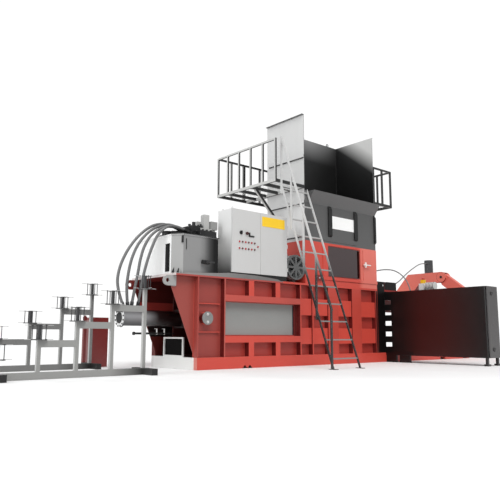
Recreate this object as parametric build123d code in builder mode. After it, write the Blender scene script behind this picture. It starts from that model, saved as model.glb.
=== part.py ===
from build123d import *
import math
import os

os.makedirs("parts", exist_ok=True)

# ---------------------------------------------------------------- driving sizes (mm)
# Working coordinates: X along the machine from the rear of the press to the bale outlet,
# Y away from the operator side, Z up, with the near rear corner of the base at zero.
OX, OY = 2224.5, -85.0          # shift that puts the middle of the footprint at the origin
W = 1240.0                      # width of base and press box
CY = W / 2                      # centre line across the machine
L = 7440.0                      # length of the base
BASE_H = 174.0                  # top of the floor plate
DECK_Z0, DECK_Z1 = 1335.0, 1370.0
SKIN0, SKIN1 = 98.0, 110.0      # wall skin behind the ribs
X_PRESS = 4180.0                # front end of the press box
X_TIE = 4830.0                  # front end of the tying station
CYL_Z = 735.0                   # axis of the main cylinder
BARREL_R, BORE_R, ROD_R = 111.0, 90.0, 45.0
RAM_X0, RAM_X1 = 250.0, 2240.0
CH_X0, CH_X1, CH_Y = 2225.0, 4177.0, 960.0
CHUTE_TOP = 2115.0
HOP_X1, HOP_TOP = 4165.0, 4376.0
FLARE_Z0, FLARE_Z1, FLARE_Y, FLARE_X0 = 2790.0, 2990.0, -140.0, 2320.0
FLOOR_Z, RAIL_Z = 3080.0, 3785.0
WK_X0, WK_X1, WK_Y = 1535.0, 4740.0, 1600.0
TUBE = 32.0                     # railing tube
HX0, HX1, HY0 = 4400.0, 4800.0, -2060.0     # needle housing
WIRE_Z = (325.0, 525.0, 725.0, 925.0, 1125.0)
YX0, YX1 = 6980.0, 7180.0       # tension yoke
PIV_Y, PIV_Z = 338.0, 1814.0
TC_Y = 705.0                    # axis of the tension cylinder
RACK = 44.0                     # rack posts, square
BEAM = 80.0                     # height of the rack beams
HOSE_D = 42.0
THIN_D = 22.0


def at(x, y, z):
    return (x - OX, y - OY, z)


def top(z):
    return Plane(origin=at(0, 0, z), x_dir=(1, 0, 0), z_dir=(0, 0, 1))


def side(y):
    return Plane(origin=at(0, y, 0), x_dir=(1, 0, 0), z_dir=(0, -1, 0))


def end(x):
    return Plane(origin=at(x, 0, 0), x_dir=(0, 1, 0), z_dir=(1, 0, 0))


def bar(x0, x1, y0, y1, z0, z1, mode=Mode.ADD):
    """rectangular bar between two corners, added to the part being built"""
    with Locations(at((x0 + x1) / 2, (y0 + y1) / 2, (z0 + z1) / 2)):
        Box(x1 - x0, y1 - y0, z1 - z0, mode=mode)


def rod_x(x0, x1, y, z, r, mode=Mode.ADD):
    with BuildSketch(end(x0)) as sk:
        with Locations((y, z)):
            Circle(r)
    extrude(sk.sketch, amount=x1 - x0, mode=mode)


def rod_y(y0, y1, x, z, r, mode=Mode.ADD):
    with BuildSketch(side(y1)) as sk:
        with Locations((x, z)):
            Circle(r)
    extrude(sk.sketch, amount=y1 - y0, mode=mode)


def rod_z(z0, z1, x, y, r, mode=Mode.ADD):
    with BuildSketch(top(z0)) as sk:
        with Locations((x, y)):
            Circle(r)
    extrude(sk.sketch, amount=z1 - z0, mode=mode)


def slab_y(y0, y1, pts, mode=Mode.ADD):
    """profile drawn in X-Z, thick from y0 to y1"""
    with BuildSketch(side(y1)) as sk:
        with BuildLine():
            Polyline(*pts, close=True)
        make_face()
    extrude(sk.sketch, amount=y1 - y0, mode=mode)


def slab_x(x0, x1, pts, mode=Mode.ADD):
    """profile drawn in Y-Z, thick from x0 to x1"""
    with BuildSketch(end(x0)) as sk:
        with BuildLine():
            Polyline(*pts, close=True)
        make_face()
    extrude(sk.sketch, amount=x1 - x0, mode=mode)


def slab_z(z0, z1, pts, mode=Mode.ADD):
    with BuildSketch(top(z0)) as sk:
        with BuildLine():
            Polyline(*pts, close=True)
        make_face()
    extrude(sk.sketch, amount=z1 - z0, mode=mode)


def save(builder, name):
    builder.part.label = name
    export_step(builder.part, "parts/" + name + ".step")


# ---------------------------------------------------------------- base
with BuildPart() as base_frame:
    bar(0, L, 0, 80, 0, BASE_H)
    bar(0, L, W - 80, W, 0, BASE_H)
    bar(70, L, 80, W - 80, BASE_H - 12, BASE_H)
    for x in (1500, 2900, 4300, 5700, 7360):
        bar(x, x + 80, 80, W - 80, 0, BASE_H - 12)
    # notches at the underside of both long beams
    for y0, y1 in ((0, 80), (W - 80, W)):
        slab_y(y0, y1, [(840, 0), (940, 0), (890, 50)], Mode.SUBTRACT)
        slab_y(y0, y1, [(940, 0), (1040, 0), (990, 50)], Mode.SUBTRACT)
        bar(6270, 6460, y0, y1, 0, 50, Mode.SUBTRACT)
        bar(7180, 7330, y0, y1, 0, 50, Mode.SUBTRACT)
save(base_frame, "base_frame")

with BuildPart() as rear_frame:
    bar(-10, 70, 80.0, W - 80, 0, BASE_H)
    bar(-10, 14, 351, 375, BASE_H, 464)
    bar(-10, 14, 861, 885, BASE_H, 464)
    bar(-10, 14, 375, 861, 440, 464)
    bar(-10, 14, 375, 861, BASE_H, 198)
save(rear_frame, "rear_frame")


# ---------------------------------------------------------------- press box walls
def wall(sign):
    """one side wall; sign +1 is the operator side, -1 the mirrored far side"""
    def yy(a, b):
        return (a, b) if sign > 0 else (W - b, W - a)

    def b(x0, x1, a, c, z0, z1, mode=Mode.ADD):
        y0, y1 = yy(a, c)
        bar(x0, x1, y0, y1, z0, z1, mode)

    s0, s1 = yy(SKIN0, SKIN1)
    slab_y(s0, s1, [(-390, DECK_Z0), (-390, 1173), (-5, 245), (0, BASE_H), (X_PRESS, BASE_H), (X_PRESS, DECK_Z0)])
    # upright ribs
    for x0, x1 in ((0, 20), (487, 506), (2092, 2116), (2385, 2410), (4121, X_PRESS)):
        b(x0, x1, 0, SKIN0, BASE_H, DECK_Z0)
    # short ribs of the rear bay and the boss of the cylinder pin
    b(20, 445, 60, SKIN0, 949, 961)
    b(20, 445, 60, SKIN0, 534, 546)
    y0, y1 = yy(12, SKIN0)
    rod_y(y0, y1, 182, 740, 88)
    # long rails and stubs of the window bay
    b(506, 2092, 0, SKIN0, 1004, 1100)
    b(506, 2092, 0, SKIN0, 385, 484)
    for x0, x1 in ((967, 1073), (1533, 1633)):
        b(x0, x1, 0, SKIN0, 1100, DECK_Z0)
        b(x0, x1, 0, SKIN0, BASE_H, 385)
    # bands and wide columns of the press bay
    for z0, z1 in ((831, 1112), (350, 620)):
        b(2116, 4121, 25, SKIN0, z0, z1)
    for x0, x1 in ((2788, 3051), (3434, 3691)):
        b(x0, x1, 0, SKIN0, BASE_H, DECK_Z0)
    # window opening and pin hole
    b(520, 2035, SKIN0, SKIN1, 500, 995, Mode.SUBTRACT)
    y0, y1 = yy(0, SKIN1)
    rod_y(y0, y1, 182, 740, 50.05, Mode.SUBTRACT)
    # lifting lug at the rear upper corner
    y0, y1 = yy(70, SKIN0)
    slab_y(y0, y1, [(-470, 1187), (-330, 1187), (-330, DECK_Z0), (-470, DECK_Z0)])
    rod_y(y0, y1, -470, 1261, 71.5)
    bar(-545, -330, y0, y1, DECK_Z0, 1345, Mode.SUBTRACT)
    rod_y(y0, y1, -470, 1261, 30, Mode.SUBTRACT)


with BuildPart() as near_wall:
    wall(1)
save(near_wall, "near_wall")

with BuildPart() as far_wall:
    wall(-1)
save(far_wall, "far_wall")

with BuildPart() as window_panel:
    bar(508, 2047, SKIN1, SKIN1 + 7, 487, 1008)
save(window_panel, "window_panel")

with BuildPart() as deck:
    bar(-387, X_PRESS, 0, W, DECK_Z0, DECK_Z1)
    bar(CH_X0 + 25, CH_X1 - 25, 115, CH_Y - 15, DECK_Z0, DECK_Z1, Mode.SUBTRACT)
    # upstand along the edge below tank and cabinet
    slab_y(0, 10, [(-240, DECK_Z1), (-240, 1380), (26, 1392), (400, 1414), (560, 1430), (840, 1430), (1125, 1424),
                   (1410, 1406), (1580, 1392), (1650, DECK_Z1)])
save(deck, "deck")

# ---------------------------------------------------------------- press drive
with BuildPart() as cylinder_pin:
    for y0, y1, c0, c1 in ((0, 470, 0, 12), (W - 470, W, W - 12, W)):
        rod_y(y0, y1, 182, 740, 50)
        rod_y(c0, c1, 182, 740, 96)
save(cylinder_pin, "cylinder_pin")


def route_end(a, b, r, back, ahead):
    """straight ferrule that carries a hose end on the line from b to a"""
    va, vb = Vector(*at(*a)), Vector(*at(*b))
    d = (va - vb).normalized()
    with BuildSketch(Plane(origin=va, z_dir=d)) as sk:
        Circle(r)
    extrude(sk.sketch, amount=ahead)


# hose routes, first point at the valve manifold, last point at the cylinder ports
R1 = [(10, 550, 2105), (-190, 551, 2165), (-405, 554, 2135), (-565, 561, 2038), (-730, 570, 1876),
      (-876, 580, 1650), (-968, 592, 1405), (-978, 605, 1165), (-881, 620, 954)]
R2 = [(10, 460, 2090), (-150, 462, 2145), (-330, 470, 2128), (-540, 487, 2018), (-705, 507, 1820),
      (-798, 532, 1590), (-832, 560, 1350), (-834, 590, 1145), (-795, 620, 960)]
R3 = [(10, 370, 2060), (-145, 375, 2098), (-355, 386, 2088), (-555, 406, 1955), (-660, 436, 1755),
      (-692, 476, 1555), (-697, 520, 1355), (-712, 572, 1150), (-717, 620, 970)]
R4 = [(10, 280, 2030), (-140, 285, 2082), (-342, 304, 2098), (-498, 336, 1945), (-578, 381, 1705),
      (-618, 436, 1480), (-628, 497, 1300), (-617, 560, 1130), (-614, 620, 972)]
# thin lines on the outlet side
RN = [(4200, 60, 1722), (4330, 45, 1752), (4480, 15, 1772), (4620, -60, 1768), (4720, -150, 1700),
      (4765, -240, 1590), (4770, -310, 1460), (4752, -350, 1348)]
RT = [(4860, 110, 1500), (5080, 150, 1570), (5340, 222, 1685), (5610, 305, 1795), (5880, 385, 1895),
      (6160, 465, 1990), (6440, 555, 2072), (6715, 645, 2128), (6955, 693, 2154)]

with BuildPart() as main_cylinder:
    rod_x(-885, 1380, CY, CYL_Z, BARREL_R)
    rod_x(-910, -885, CY, CYL_Z, 133)
    rod_x(-925, -910, CY, CYL_Z, 76)
    rod_x(1330, 1380, CY, CYL_Z, 125)
    bar(105, 245, 470, W - 470, 600, 880)
    bar(-930, -570, 565, 675, CYL_Z + 80, 915)
    rod_x(-890, 1345, CY, CYL_Z, BORE_R, Mode.SUBTRACT)
    rod_x(1340, 1380, CY, CYL_Z, ROD_R + 0.05, Mode.SUBTRACT)
    for r in (R1, R2, R3, R4):
        route_end(r[-1], r[-2], 27, 0, 62)
    rod_x(-890, 1345, CY, CYL_Z, BORE_R, Mode.SUBTRACT)
save(main_cylinder, "main_cylinder")

with BuildPart() as cylinder_rod:
    rod_x(-780, 2120, CY, CYL_Z, ROD_R)
    rod_x(-860, -780, CY, CYL_Z, BORE_R - 0.05)
save(cylinder_rod, "cylinder_rod")

with BuildPart() as ram:
    bar(2120, RAM_X1, 114, W - 114, 176, 1318)
    bar(RAM_X0, 2120, 200, 220, 176, 1318)
    bar(RAM_X0, 2120, W - 220, W - 200, 176, 1318)
    bar(RAM_X0, 2120, 220, W - 220, 176, 190)
    bar(RAM_X0, RAM_X1, 114, W - 114, 1318, 1330)
save(ram, "ram")

# ---------------------------------------------------------------- feed chute
with BuildPart() as chute:
    bar(CH_X0, CH_X1, 0, CH_Y, DECK_Z1, CHUTE_TOP)
    bar(CH_X0 + 12, CH_X1 - 12, 22, CH_Y - 12, DECK_Z1, CHUTE_TOP, Mode.SUBTRACT)
    # relief of the near face
    bar(2631, 2675, 0, 10, 1450, CHUTE_TOP, Mode.SUBTRACT)
    bar(2805, 3783, 0, 10, 1450, 2075, Mode.SUBTRACT)
    bar(3696, 3755, 0, 10, 1450, 2075)
    bar(2815, 3590, 10, 22, 1545, 2050, Mode.SUBTRACT)
    bar(3606, 3690, 10, 22, 1545, 2050, Mode.SUBTRACT)
    bar(3606, 3690, 78, 90, 1533, 2062)
    bar(3600, 3606, 10, 90, 1533, 2062)
    bar(3690, 3696, 10, 90, 1533, 2062)
    bar(3606, 3690, 22, 78, 1533, 1545)
    bar(3606, 3690, 22, 78, 2050, 2062)
    # flange above the long beam and box at the lower left
    bar(2640, CH_X1, -14, 0, 1458, 1513)
    bar(2475, 2612, -30, 0, 1430, 1530)
    # bearing of the clamp handle
    rod_y(-16, 0, 3790, 1800, 26)
    rod_y(-16, 22, 3790, 1800, 10.05, Mode.SUBTRACT)
    # bulkhead fitting of the thin line
    route_end(RN[0], RN[1], 17, 0, 26)
save(chute, "chute")

with BuildPart() as inspection_door:
    bar(2806, 3599, -2, 8, 1532, 2063)
save(inspection_door, "inspection_door")

with BuildPart() as door_handle:
    rod_y(-60, 20, 3790, 1800, 10)
    rod_y(-60, -18, 3790, 1800, 22)
    bar(3790, 3940, -58, -42, 1791, 1809)
    bar(3776, 3804, -60, -40, 1752, 1848)
save(door_handle, "door_handle")

# ---------------------------------------------------------------- hopper
with BuildPart() as hopper_shell:
    bar(CH_X0, CH_X0 + 8, 8, CH_Y, CHUTE_TOP, HOP_TOP)
    bar(HOP_X1 - 8, HOP_X1, 8, CH_Y, CHUTE_TOP, HOP_TOP)
    bar(CH_X0 + 8, HOP_X1 - 8, CH_Y - 8, CH_Y, CHUTE_TOP, HOP_TOP)
    for z in (3578, 2760, 2177):
        bar(CH_X0 - 8, CH_X0, 8, CH_Y - 60, z, z + 60)
    bar(CH_X0 - 40, CH_X0, 8, CH_Y, HOP_TOP - 10, HOP_TOP)
    bar(HOP_X1, HOP_X1 + 12, 8, CH_Y, HOP_TOP - 10, HOP_TOP)
    for x in (2480, 3180, 3900):
        with BuildSketch(side(CH_Y)):
            with Locations((x, HOP_TOP + 20)):
                Circle(34)
                Circle(17, mode=Mode.SUBTRACT)
        extrude(amount=8)
save(hopper_shell, "hopper_shell")

with BuildPart() as hopper_front:
    bar(CH_X0, HOP_X1, 0, 8, CHUTE_TOP, FLARE_Z0)
    bar(CH_X0, FLARE_X0, 0, 8, FLARE_Z0, FLARE_Z1)
    slab_x(FLARE_X0, HOP_X1, [(0, FLARE_Z0), (8, FLARE_Z0), (FLARE_Y + 8, FLARE_Z1), (FLARE_Y, FLARE_Z1)])
    slab_x(HOP_X1 - 6, HOP_X1, [(8, FLARE_Z0), (8, FLARE_Z1), (FLARE_Y + 8, FLARE_Z1)])
    slab_x(FLARE_X0, FLARE_X0 + 6, [(8, FLARE_Z0), (8, FLARE_Z1), (FLARE_Y + 8, FLARE_Z1)])
    for x0, x1 in ((2810, 2899), (3523, 3611), (4116, HOP_X1)):
        slab_x(x0, x1, [(0, 2231), (-30, 2260), (-30, 2740), (0, 2790)])
    bar(2675, 3607, -8, 0, 2150, 2162)
save(hopper_front, "hopper_front")

# ---------------------------------------------------------------- walkway round the hopper
with BuildPart() as walkway:
    z0, z1 = FLOOR_Z - 50, FLOOR_Z
    t = TUBE
    # frame members along Y
    bar(WK_X0, WK_X0 + t, 0, WK_Y, z0, z1)
    bar(CH_X0 - t, CH_X0, 0, CH_Y, z0, z1)
    bar(HOP_X1, HOP_X1 + t, 0, CH_Y, z0, z1)
    bar(WK_X1 - t, WK_X1, 0, WK_Y, z0, z1)
    # frame members along X
    bar(WK_X0, WK_X1, WK_Y - t, WK_Y, z0, z1)
    bar(WK_X0, WK_X1, CH_Y, CH_Y + t, z0, z1)
    for y in (0, 320, 640, 1280):
        bar(WK_X0, CH_X0, y, y + t, z0, z1)
        bar(HOP_X1, WK_X1, y, y + t, z0, z1)
    for x in (CH_X0, 2900, 3550, HOP_X1):
        bar(x, x + t, CH_Y, WK_Y, z0, z1)
    # slanted brackets to the hopper
    slab_y(640, 680, [(1645, z0), (1715, z0), (CH_X0, 2520), (CH_X0, 2450)])
    slab_y(640, 680, [(WK_X1 - 60, z0), (WK_X1 - 130, z0), (HOP_X1, 2520), (HOP_X1, 2450)])
    for x in (2900, 3550):
        slab_x(x, x + 40, [(WK_Y - 60, z0), (WK_Y - 130, z0), (CH_Y, 2520), (CH_Y, 2450)])
save(walkway, "walkway")

with BuildPart() as railing:
    z1, t = FLOOR_Z, TUBE
    # posts
    for y in (0, 320, 640, 960, 1280, WK_Y - t):
        bar(WK_X0, WK_X0 + t, y, y + t, z1, RAIL_Z)
        bar(WK_X1 - t, WK_X1, y, y + t, z1, RAIL_Z)
    for x in (1845, 2565, 2930, 3290, 3650, 4020, 4380):
        bar(x, x + t, WK_Y - t, WK_Y, z1, RAIL_Z)
    bar(2140, 2200, WK_Y - t, WK_Y, z1, RAIL_Z)
    for x in (HOP_X1 - 0, 4435):
        bar(x, x + t, 0, t, z1, RAIL_Z)
    # top rails
    bar(WK_X0, WK_X0 + t, 0, WK_Y, RAIL_Z - t, RAIL_Z)
    bar(WK_X1 - t, WK_X1, 0, WK_Y, RAIL_Z - t, RAIL_Z)
    bar(WK_X0, WK_X1, WK_Y - t, WK_Y, RAIL_Z - t, RAIL_Z)
    bar(HOP_X1, WK_X1, 0, t, RAIL_Z - t, RAIL_Z)
save(railing, "railing")

with BuildPart() as walkway_mesh:
    slab_z(FLOOR_Z, FLOOR_Z + 3, [(WK_X0 + 42, 2), (CH_X0 - 1, 2), (CH_X0 - 1, CH_Y + 1), (HOP_X1 + 1, CH_Y + 1),
                                  (HOP_X1 + 1, 42), (WK_X1 - 42, 42), (WK_X1 - 42, WK_Y - 42), (WK_X0 + 42, WK_Y - 42)])
save(walkway_mesh, "walkway_mesh")

# ---------------------------------------------------------------- ladder
LAD_Y0, LEAN = -1075.0, 0.362
with BuildPart() as ladder:
    def ly(z):
        return LAD_Y0 + LEAN * z
    w = 16
    for x in (1672, 2284):
        slab_x(x, x + 16, [(ly(0) - w, 0), (ly(0) + w, 0), (ly(3080) + w, 3080), (ly(3080) - w, 3080)])
        bar(x - 22, x + 38, ly(0) - 70, ly(0) + 70, 0, 8)
    for k in range(11):
        z = 152 + 278 * k
        bar(1688, 2284, ly(z) - 13, ly(z) + 13, z - 10, z + 10)
    # top ends rest against the walkway and the hopper
    bar(1600, 2340, 0, 300, 2700, 3081, Mode.SUBTRACT)
    # handrail on the rear stile
    slab_x(1644, 1672, [(-1095, 860), (-1069, 850), (6, 3822), (-22, 3832)])
    for y in (-1082, -789, -529, -259, -27):
        zs = (y - LAD_Y0) / LEAN
        bar(1644, 1672, y, y + 26, max(zs - 60, 8), 861 + (y + 1084) * 2.76)
save(ladder, "ladder")

# ---------------------------------------------------------------- oil tank and hydraulics
with BuildPart() as oil_tank:
    slab_z(DECK_Z1, 1930, [(-350, 190), (-240, 40), (385, 40), (385, 300), (560, 300), (560, 1200), (-350, 1200)])
    slab_z(1930, 1945, [(-362, 186), (-246, 28), (397, 28), (397, 288), (572, 288), (572, 1212), (-362, 1212)])
    slab_z(DECK_Z1 + 6, 1924, [(-344, 193), (-237, 46), (379, 46), (379, 306), (554, 306), (554, 1194), (-344, 1194)],
           Mode.SUBTRACT)
    # drain valve: stub and ball housing
    rod_y(-10, 46, 120, 1553, 24)
    rod_x(60, 180, -12, 1553, 32)
    rod_y(-55.5, -10, 120, 1553, 12)
save(oil_tank, "oil_tank")

with BuildPart() as ball_valve_lever:
    rod_y(-68, -56, 120, 1553, 20)
    bar(120, 245, -68, -60, 1543, 1563)
save(ball_valve_lever, "ball_valve_lever")

with BuildPart() as valve_block:
    bar(-300, 545, 100, 640, 1945, 1970)
    bar(100, 545, 110, 640, 1970, 2050)
    bar(180, 520, 230, 620, 2050, 2110)
    bar(405, 560, 90, 300, 1940, 2110, Mode.SUBTRACT)
    bar(285, 385, 270, 360, 2110, 2335)
    bar(395, 520, 240, 440, 2110, 2235)
    bar(300, 420, 480, 590, 2110, 2260)
    bar(40, 180, 240, 600, 1970, 2135)
    rod_z(2135, 2195, 105, 290, 26)
    rod_z(2135, 2180, 105, 400, 22)
    for r in (R1, R2, R3, R4):
        va, vb = Vector(*at(*r[0])), Vector(*at(*r[1]))
        with BuildSketch(Plane(origin=va, z_dir=(va - vb).normalized())):
            Circle(27)
        extrude(amount=50)
save(valve_block, "valve_block")

MX, MZ = 2010.5, 1625.0
with BuildPart() as motor:
    rod_y(120, 720, MX, MZ, 205)
    rod_y(6, 120, MX, MZ, 211)
    rod_y(12, 108, MX, MZ, 203, Mode.SUBTRACT)
    rod_y(104, 120, MX, MZ, 30)
    # cowl grille: wedge-shaped gaps between the spokes
    with BuildSketch(side(14)):
        with Locations((MX, MZ)):
            Circle(182)
            Circle(58, mode=Mode.SUBTRACT)
            with PolarLocations(0, 8):
                Rectangle(420, 38, mode=Mode.SUBTRACT)
    extrude(amount=10, mode=Mode.SUBTRACT)
    bar(MX - 165, MX - 95, 200, 640, DECK_Z1, 1480)
    bar(MX + 95, MX + 165, 200, 640, DECK_Z1, 1480)
    bar(MX - 90, MX + 90, 300, 480, MZ + 190, MZ + 255)
    rod_y(720, 860, MX, MZ, 150)
save(motor, "motor")

with BuildPart() as motor_fan:
    rod_y(50, 100, MX, MZ, 34)
    for a in range(7):
        with BuildSketch(side(96)):
            with Locations((MX, MZ)):
                with PolarLocations(95, 1, start_angle=a * 360 / 7):
                    Rectangle(140, 9)
        extrude(amount=40)
save(motor_fan, "motor_fan")

with BuildPart() as pump:
    rod_y(860, 1000, MX, MZ, 115)
    bar(MX - 110, MX + 110, 1000, 1120, MZ - 100, MZ + 100)
    bar(MX - 60, MX + 60, 900, 1000, DECK_Z1, MZ - 60)
save(pump, "pump")

# ---------------------------------------------------------------- control cabinet
with BuildPart() as cabinet:
    bar(630, 1787, 12, 347, DECK_Z1, 1447)
    bar(622, 1795, 22, 355, 1447, 2445)
    bar(625, 1792, 22, 352, 1450, 2442, Mode.SUBTRACT)
    bar(622, 1795, 22, 25, 1447, 2445)
    bar(652, 1180, 22, 25, 1477, 2415, Mode.SUBTRACT)
    bar(1232, 1765, 22, 25, 1477, 2415, Mode.SUBTRACT)
    # mounting plate for the electrics on the back
    bar(700, 1717, 332, 352, 1530, 2360)
save(cabinet, "cabinet")

with BuildPart() as cabinet_door_left:
    bar(624, 1205, 0, 21.4, 1449, 2443)
    bar(644, 1185, 2, 22, 1469, 2423, Mode.SUBTRACT)
    rod_y(0, 3, 800, 2077, 9.05, Mode.SUBTRACT)
    rod_y(0, 3, 912, 2074, 11.05, Mode.SUBTRACT)
save(cabinet_door_left, "cabinet_door_left")

with BuildPart() as cabinet_door_right:
    bar(1209, 1793, 0, 21.4, 1449, 2443)
    bar(1229, 1773, 2, 22, 1469, 2423, Mode.SUBTRACT)
    bar(1793, 1815, 0, 12, 2215, 2300)
save(cabinet_door_right, "cabinet_door_right")

with BuildPart() as main_switch:
    rod_y(-8, 14, 800, 2077, 9)
    rod_y(-10, -1, 800, 2077, 30)
    bar(794, 806, -34, -10, 2050, 2104)
save(main_switch, "main_switch")

with BuildPart() as stop_button:
    rod_y(-18, 14, 912, 2074, 11)
    rod_y(-30, -10, 912, 2074, 24)
save(stop_button, "stop_button")

# ---------------------------------------------------------------- tying station
with BuildPart() as tying_station:
    bar(X_PRESS, X_TIE, 0, SKIN1, BASE_H, DECK_Z0)
    bar(X_PRESS, X_TIE, W - SKIN1, W, BASE_H, DECK_Z0)
    bar(X_PRESS, X_TIE, 0, W, DECK_Z0, DECK_Z1)
    for z in WIRE_Z:
        bar(HX0, HX1, 0, SKIN1, z - 55, z + 55, Mode.SUBTRACT)
        bar(HX0 + 100, HX1 - 100, W - SKIN1, W, z - 45, z + 45, Mode.SUBTRACT)
    # gearbox cover of the tier, bracket plate and top block
    bar(4400, 4800, W, W + 260, 230, 1240)
    bar(4412, 4788, W, W + 248, 242, 1228, Mode.SUBTRACT)
    bar(4520, 4817, 20, 240, DECK_Z1, 1530)
    bar(X_PRESS, 4505, 0, 20, DECK_Z1, 1522)
    with BuildSketch(side(20)):
        with BuildLine():
            Polyline((4425, 1522), (4505, 1522), (4505, 1442), (4425, 1522))
        make_face()
        with Locations((4425, 1442)):
            Circle(80, mode=Mode.SUBTRACT)
    extrude(amount=20, mode=Mode.SUBTRACT)
    va, vb = Vector(*at(*RT[0])), Vector(*at(*RT[1]))
    with BuildSketch(Plane(origin=va, z_dir=(va - vb).normalized())):
        Circle(17)
    extrude(amount=60)
save(tying_station, "tying_station")

with BuildPart() as needle_housing:
    bar(HX0, HX1, HY0, 0, 130, 1322)
    fillet(needle_housing.edges().filter_by(Axis.Z).sort_by(Axis.Y)[0:2], 40)
    bar(HX0 + 8, HX1 - 8, HY0 + 8, 0, 138, 1314, Mode.SUBTRACT)
    for z in WIRE_Z:
        bar(HX0, HX0 + 8, -144, -5, z - 43, z + 43, Mode.SUBTRACT)
    for y0, y1 in ((-230, -7), (-530, -300)):
        bar(HX0 + 5, HX0 + 45, y0, y1, 0, 130)
    for x in (4430, 4770):
        rod_z(0, 30, x, -2000, 55)
        rod_z(30, 130, x, -2000, 28)
    for z in (1200, 270):
        rod_y(HY0 - 10, HY0, 4565, z, 34)
    rod_z(1300, 1322, 4600, -740, 25.05, Mode.SUBTRACT)
    route_end(RN[-1], RN[-2], 17, 0, 30)
save(needle_housing, "needle_housing")

with BuildPart() as needle_carriage:
    bar(4550, 4650, -1960, -1860, 141, 1280)
    bar(4420, 4780, -1990, -1830, 139, 200)
    for z in WIRE_Z:
        bar(4594, 4606, -1860, -150, z - 28, z + 28)
save(needle_carriage, "needle_carriage")

with BuildPart() as needle_drive:
    rod_y(-985, -800, 4600, 1398, 72)
    rod_y(-800, -790, 4600, 1398, 60)
    bar(4525, 4675, -790, -690, 1322, 1452)
    bar(4550, 4650, -965, -825, 1322, 1345)
    bar(4565, 4635, -775, -705, 1452, 1522)
    rod_z(1300, 1322, 4600, -740, 25)
    rod_z(1505, 1523, 4600, -740, 8.05, Mode.SUBTRACT)
save(needle_drive, "needle_drive")

with BuildPart() as estop_button:
    rod_z(1516, 1534, 4600, -740, 8)
    rod_z(1529, 1553, 4600, -740, 27)
save(estop_button, "estop_button")

# ---------------------------------------------------------------- outlet channel and bale tension
GAPS = ((250, 365), (478, 592), (690, 820), (897, 1010))
with BuildPart() as channel_frame:
    bar(X_TIE, L, W - SKIN1, W - 50, BASE_H, 1335)
    for z0, z1 in GAPS:
        bar(X_TIE + 100, L - 60, W - SKIN1, W - 50, z0, z1, Mode.SUBTRACT)
    for x0, x1 in ((X_TIE, 4930), (5600, 5700), (6400, 6500), (YX0, YX1), (7340, L)):
        bar(x0, x1, W - 50, W, BASE_H, 1335)
    bar(X_TIE, 4990, 0, SKIN1, BASE_H, 1335)
    bar(X_TIE, L, 0, 90, 1335, 1350)
    bar(X_TIE, L, W - SKIN1, W, 1335, 1350)
    for y in (230, 570, 910):
        bar(X_TIE, L, y, y + 100, 1335, 1350)
    for x in (X_TIE, 5600, 6400, 7340):
        bar(x, x + 100, 90, W - SKIN1, 1335, 1350)
    bar(YX0 + 20, YX1 - 20, 0, 45, 1335, 1350, Mode.SUBTRACT)
    # hinge knuckles of the side flap
    for z0, z1 in ((240, 340), (1160, 1260)):
        bar(4990, 5010, 20, 60, z0, z1)
        rod_z(z0, z1, 5015, 40, 20)
        rod_z(z0 - 40, z1 + 40, 5015, 40, 10)
save(channel_frame, "channel_frame")

with BuildPart() as channel_flap:
    bar(5045, 7400, 50, SKIN1, 180, 1328)
    for z0, z1 in GAPS:
        bar(5145, 7300, 50, SKIN1, z0, z1, Mode.SUBTRACT)
    for x0, x1 in ((5045, 5145), (6000, 6080), (YX0, YX1), (7320, 7400)):
        bar(x0, x1, 0, 50, 180, 1328)
    for z0, z1 in ((201, 239), (341, 379), (1121, 1159), (1261, 1299)):
        bar(5015, 5045, 22, 58, z0, z1)
        rod_z(z0, z1, 5015, 40, 20)
        rod_z(z0, z1, 5015, 40, 10.05, Mode.SUBTRACT)
save(channel_flap, "channel_flap")

with BuildPart() as yoke:
    slab_x(YX0, YX1, [(PIV_Y, 1931), (1212, 1931), (1512, 1603), (1738, 1355), (1640, 1090), (1400, 700), (W, 700),
                      (W, 1355), (865, 1739), (800, 1704), (PIV_Y, 1698)])
    rod_x(YX0, YX1, PIV_Y, PIV_Z, 116.5)
    bar(YX0 + 30, YX1 - 30, 200, 800, 1680, 1911, Mode.SUBTRACT)
    rod_x(YX0 - 6, YX1 + 6, PIV_Y, PIV_Z, 30)
    rod_z(1905, 1931, 7080, TC_Y, 30, Mode.SUBTRACT)
save(yoke, "yoke")

with BuildPart() as tension_lever:
    slab_x(YX0 + 36, YX1 - 36, [(254, 1880), (-258, 1484), (-420, 1352), (-430, 1250), (-300, 950), (-180, 700), (-12, 700),
                                (-12, 800), (-70, 1150), (-15, 1352), (185, 1520), (345, 1640), (PIV_Y + 50, 1740),
                                (PIV_Y, PIV_Z), (PIV_Y, PIV_Z + 88)])
    rod_x(YX0 + 36, YX1 - 36, PIV_Y, PIV_Z, 88)
    bar(YX0 + 36, YX1 - 36, PIV_Y, 745, 1770, 1858)
    rod_x(YX0 + 36, YX1 - 36, PIV_Y, PIV_Z, 31, Mode.SUBTRACT)
save(tension_lever, "tension_lever")

with BuildPart() as tension_cylinder:
    rod_z(1931, 2232, 7080, TC_Y, 97)
    rod_z(1931, 2217, 7080, TC_Y, 80, Mode.SUBTRACT)
    rod_z(1931, 1960, 7080, TC_Y, 85)
    rod_z(1931, 1961, 7080, TC_Y, 25.05, Mode.SUBTRACT)
    va, vb = Vector(*at(*RT[-1])), Vector(*at(*RT[-2]))
    with BuildSketch(Plane(origin=va, z_dir=(va - vb).normalized())):
        Circle(17)
    extrude(amount=34)
save(tension_cylinder, "tension_cylinder")

with BuildPart() as tension_rod:
    rod_z(1862, 2080, 7080, TC_Y, 25)
    rod_z(2080, 2140, 7080, TC_Y, 79.95)
save(tension_rod, "tension_rod")


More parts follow.
